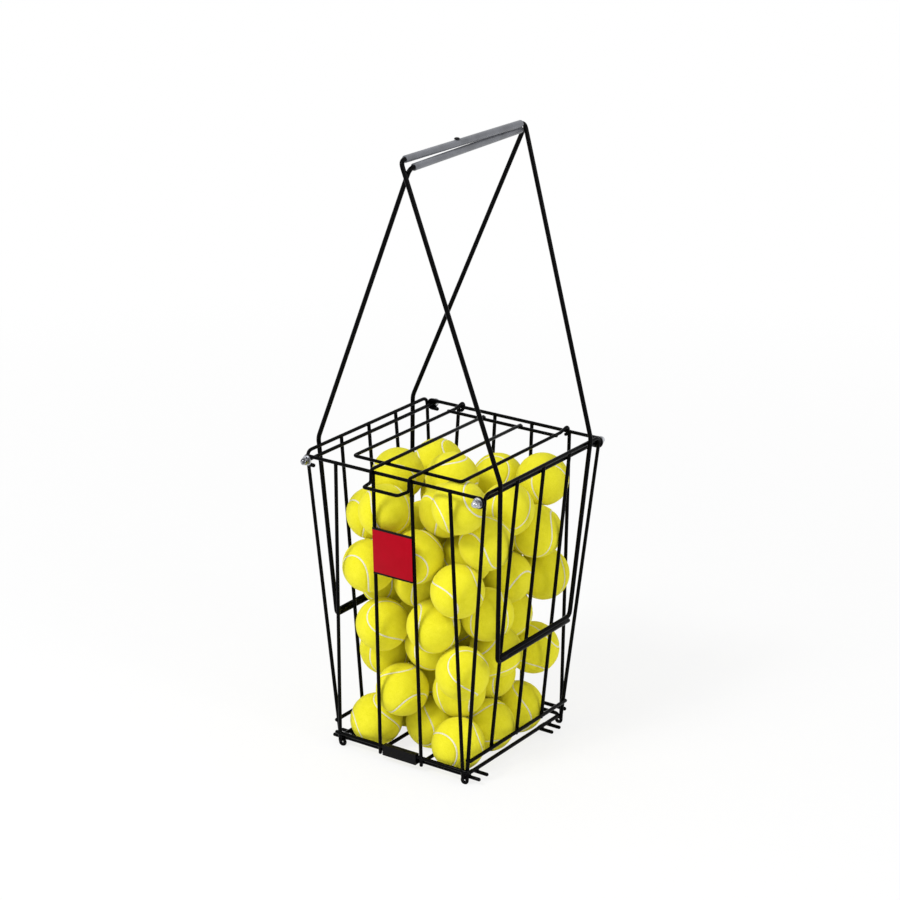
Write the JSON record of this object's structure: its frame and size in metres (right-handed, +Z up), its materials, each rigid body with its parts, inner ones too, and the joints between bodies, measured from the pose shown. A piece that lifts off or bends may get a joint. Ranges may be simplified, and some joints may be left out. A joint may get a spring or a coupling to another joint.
{
  "type": "tennis ball hopper",
  "caption": "Tapered black wire basket full of tennis balls, with a hinged wire lid, a red label plate and two tall wire handles that cross at grey grips.",
  "frame": {"origin": "on the ground, under the middle of the basket", "axes": "+Z up; -Y to the front, with the label plate and the lid's pull tab; +X to the right, seen from the front"},
  "size_m": [0.2748, 0.2996, 0.7744],
  "materials": {
    "wire_coat": "glossy black vinyl coat on steel wire",
    "nut_chrome": "polished",
    "grip_vinyl": "smooth grey tube",
    "label_print": "printed red sheet, bare",
    "felt": "yellow woven felt",
    "stud_nylon": "moulded black"
  },
  "bodies": {
    "basket": {"back_base_clip": "wire_coat", "back_panel": "wire_coat", "ball_06": "felt", "ball_08": "felt", "ball_25": "felt", "ball_26": "felt", "ball_27": "felt", "ball_28": "felt", "ball_29": "felt", "ball_30": "felt", "ball_31": "felt", "ball_32": "felt", "ball_33": "felt", "ball_34": "felt", "ball_pair_01": "felt", "ball_pair_02": "felt", "ball_pair_03": "felt", "ball_pair_04": "felt", "ball_pair_05": "felt", "ball_pair_07": "felt", "ball_pair_09": "felt", "ball_pair_10": "felt", "ball_pair_11": "felt", "ball_pair_12": "felt", "ball_pair_13": "felt", "ball_pair_14": "felt", "ball_pair_15": "felt", "ball_pair_16": "felt", "ball_pair_17": "felt", "ball_pair_18": "felt", "ball_pair_19": "felt", "ball_pair_20": "felt", "ball_pair_21": "felt", "ball_pair_22": "felt", "ball_pair_23": "felt", "ball_pair_24": "felt", "base_grid": "wire_coat", "front_base_clip": "wire_coat", "front_panel": "wire_coat", "label_plate": "label_print", "left_axle_rod": "wire_coat", "left_back_leg_clip": "wire_coat", "left_back_nut": "nut_chrome", "left_front_leg_clip": "wire_coat", "left_front_nut": "nut_chrome", "left_panel": "wire_coat", "right_axle_rod": "wire_coat", "right_back_leg_clip": "wire_coat", "right_back_nut": "nut_chrome", "right_front_leg_clip": "wire_coat", "right_front_nut": "nut_chrome", "right_panel": "wire_coat"},
    "lid": {"lid_frame": "wire_coat"},
    "right_handle": {"right_handle_frame": "wire_coat", "right_grip": "grip_vinyl", "grip_stud": "stud_nylon"},
    "left_handle": {"left_handle_frame": "wire_coat", "left_grip": "grip_vinyl"}
  },
  "joints": [
    {"name": "lid_hinge", "type": "hinge", "parent": "basket", "child": "lid", "pos_m": [0, 0.1305, 0.38495], "axis": [-1, 0, 0], "range_deg": [0, 75]},
    {"name": "right_handle_slide", "type": "slide", "parent": "basket", "child": "right_handle", "axis": [0.0533, 0, 0.9986], "range_m": [0, 0.19]},
    {"name": "left_handle_slide", "type": "slide", "parent": "basket", "child": "left_handle", "axis": [-0.0533, 0, 0.9986], "range_m": [0, 0.19]}
  ],
  "couplings": [
    {"joint": "left_handle_slide", "follows": "right_handle_slide", "ratio": 1}
  ]
}
